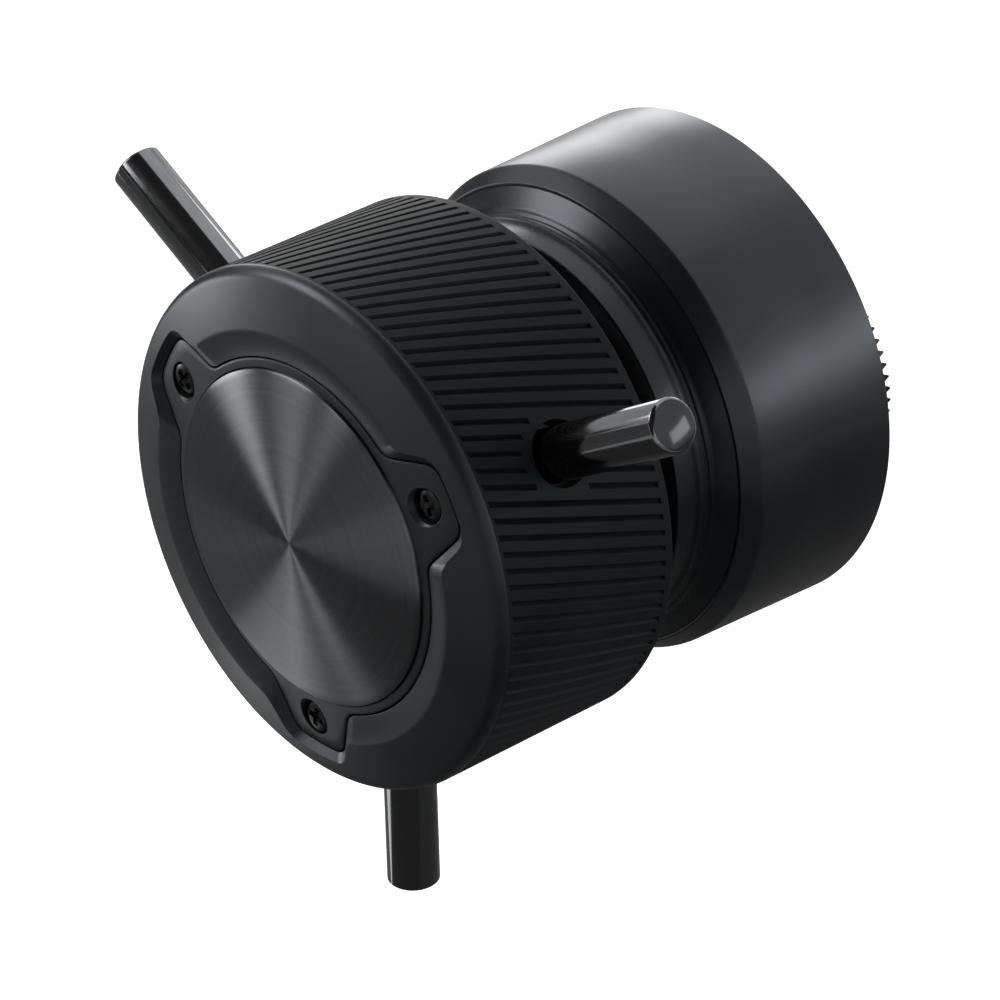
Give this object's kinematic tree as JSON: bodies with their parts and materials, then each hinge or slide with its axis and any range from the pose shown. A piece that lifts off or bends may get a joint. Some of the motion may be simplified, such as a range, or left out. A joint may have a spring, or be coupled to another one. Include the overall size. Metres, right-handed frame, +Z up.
{
  "type": "focus demand",
  "caption": "Camera focus demand: a grooved hand wheel with polished spokes turning in a black drum housing, with a toothed mount at the back.",
  "frame": {"origin": "centre of the toothed mount, in the plane of its tooth crests", "axes": "+Y out of the toothed mount, away from the wheel, so the wheel's face looks along -Y; +Z up, towards the wheel's axis, which lies 7.7 mm above the mount's; +X to the right of someone looking along +Y"},
  "size_m": [0.101, 0.0887, 0.0913],
  "materials": {
    "wheel_black": "satin black anodised, finely blasted",
    "drum_black": "satin black anodised",
    "plate_black": "satin black anodised",
    "spun_grey": "dark anodised over fine spun lines",
    "polished_rod": "dark chrome, mirror polished",
    "aluminium": "turned",
    "black_steel": "black oxide",
    "brass": "turned",
    "felt": "greased felt",
    "rubber": "moulded",
    "board": "coated circuit board",
    "chip": "moulded",
    "magnet": "nickel plated",
    "steel": "fine turned"
  },
  "bodies": {
    "body": {"mount_rosette": "black_steel", "rosette_screw_1": "black_steel", "rosette_screw_2": "black_steel", "rosette_screw_3": "black_steel", "threaded_insert": "brass", "rear_cover": "drum_black", "rear_cover_screw_1": "black_steel", "rear_cover_screw_2": "black_steel", "rear_cover_screw_3": "black_steel", "rear_cover_screw_4": "black_steel", "rear_seal": "rubber", "body_shell": "drum_black", "neck_housing": "drum_black", "rear_bearing_outer": "steel", "front_bearing_outer": "steel", "rear_bearing_balls": "brass", "front_bearing_balls": "brass", "wave_washer": "steel", "bearing_circlip": "black_steel", "drag_ring": "felt", "encoder_board": "board", "encoder_chip": "chip", "board_screw_1": "steel", "board_screw_2": "steel", "board_screw_3": "steel", "lead_socket_1": "steel", "lead_socket_2": "steel"},
    "wheel": {"focus_wheel": "wheel_black", "front_plate": "plate_black", "spun_disc": "spun_grey", "plate_screw_1": "black_steel", "plate_screw_2": "black_steel", "plate_screw_3": "black_steel", "spoke_1": "polished_rod", "spoke_2": "polished_rod", "spoke_3": "polished_rod", "spoke_hub": "aluminium", "hub_screw_1": "black_steel", "hub_screw_2": "black_steel", "hub_screw_3": "black_steel", "hub_set_screw": "black_steel", "shaft": "steel", "shaft_washer": "steel", "shaft_screw": "black_steel", "inner_spacer": "aluminium", "rear_bearing_inner": "steel", "front_bearing_inner": "steel", "shaft_circlip": "black_steel", "encoder_magnet": "magnet"}
  },
  "joints": [
    {"name": "wheel_turn", "type": "hinge", "parent": "body", "child": "wheel", "pos_m": [0, -0.05, 0.0077], "axis": [0, 1, 0], "continuous": true}
  ]
}
